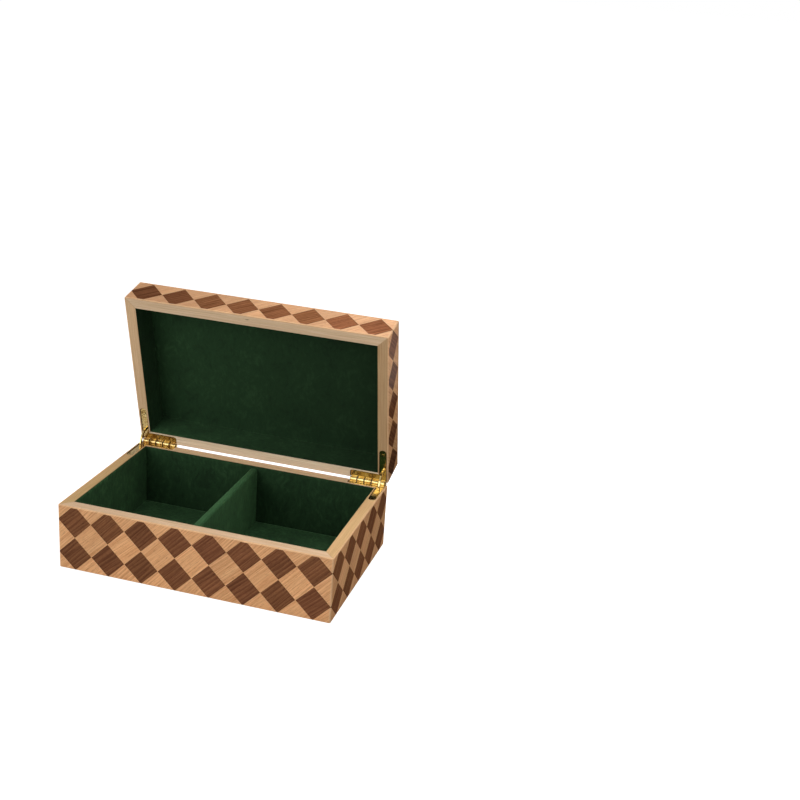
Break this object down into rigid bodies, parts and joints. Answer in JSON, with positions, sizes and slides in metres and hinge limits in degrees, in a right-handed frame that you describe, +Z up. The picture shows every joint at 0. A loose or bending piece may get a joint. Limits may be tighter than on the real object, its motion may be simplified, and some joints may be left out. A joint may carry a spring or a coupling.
{
  "type": "chess piece box",
  "caption": "Rectangular chess piece box with a chequered veneer of squares on point, a hinged lid on brass quadrant hinges with curved stays, and a suede-lined tray with a divider.",
  "frame": {"origin": "centre of the flat underside that the box stands on", "axes": "+X along the length, to the right seen from the front; +Y to the back, where the hinges are; +Z up"},
  "size_m": [0.256, 0.1914, 0.2256],
  "materials": {
    "oak_veneer": "pale oak veneer, satin lacquer",
    "walnut_veneer": "dark walnut veneer, satin lacquer",
    "wall_board": "pale close-grained solid wood, satin lacquer",
    "thin_board": "thin plywood, sanded",
    "green_suede": "dark green suede cloth with a brushed nap",
    "polished_brass": "polished brass",
    "brass_screws": "polished brass, slotted heads"
  },
  "bodies": {
    "base": {"base_back_lining": "green_suede", "base_back_oak_veneer": "oak_veneer", "base_back_wall": "wall_board", "base_back_walnut_inlay": "walnut_veneer", "base_floor_lining": "green_suede", "base_floor_panel": "thin_board", "base_front_lining": "green_suede", "base_front_oak_veneer": "oak_veneer", "base_front_wall": "wall_board", "base_front_walnut_inlay": "walnut_veneer", "base_left_lining": "green_suede", "base_left_oak_veneer": "oak_veneer", "base_left_wall": "wall_board", "base_left_walnut_inlay": "walnut_veneer", "base_right_lining": "green_suede", "base_right_oak_veneer": "oak_veneer", "base_right_wall": "wall_board", "base_right_walnut_inlay": "walnut_veneer", "divider_board": "thin_board", "divider_lining": "green_suede", "left_hinge_lower_leaf": "polished_brass", "left_hinge_lower_screws": "brass_screws", "left_hinge_pin": "polished_brass", "right_hinge_lower_leaf": "polished_brass", "right_hinge_lower_screws": "brass_screws", "right_hinge_pin": "polished_brass"},
    "lid": {"left_hinge_upper_leaf": "polished_brass", "left_hinge_upper_screws": "brass_screws", "lid_back_lining": "green_suede", "lid_back_oak_veneer": "oak_veneer", "lid_back_wall": "wall_board", "lid_back_walnut_inlay": "walnut_veneer", "lid_front_lining": "green_suede", "lid_front_oak_veneer": "oak_veneer", "lid_front_wall": "wall_board", "lid_front_walnut_inlay": "walnut_veneer", "lid_left_lining": "green_suede", "lid_left_oak_veneer": "oak_veneer", "lid_left_wall": "wall_board", "lid_left_walnut_inlay": "walnut_veneer", "lid_right_lining": "green_suede", "lid_right_oak_veneer": "oak_veneer", "lid_right_wall": "wall_board", "lid_right_walnut_inlay": "walnut_veneer", "lid_top_lining": "green_suede", "lid_top_oak_veneer": "oak_veneer", "lid_top_panel": "thin_board", "lid_top_walnut_inlay": "walnut_veneer", "right_hinge_upper_leaf": "polished_brass", "right_hinge_upper_screws": "brass_screws"},
    "left_stay": {"left_hinge_stay": "polished_brass"},
    "right_stay": {"right_hinge_stay": "polished_brass"}
  },
  "joints": [
    {"name": "lid_hinge", "type": "hinge", "parent": "base", "child": "lid", "pos_m": [0, 0.0808, 0.0622], "axis": [1, 0, 0], "range_deg": [0, 77.5]},
    {"name": "left_stay_slide", "type": "hinge", "parent": "base", "child": "left_stay", "pos_m": [0, 0.0808, 0.0622], "axis": [1, 0, 0], "range_deg": [0, 38.75]},
    {"name": "right_stay_slide", "type": "hinge", "parent": "base", "child": "right_stay", "pos_m": [0, 0.0808, 0.0622], "axis": [1, 0, 0], "range_deg": [0, 38.75]}
  ],
  "couplings": [
    {"joint": "left_stay_slide", "follows": "lid_hinge", "ratio": 0.5},
    {"joint": "right_stay_slide", "follows": "lid_hinge", "ratio": 0.5}
  ]
}
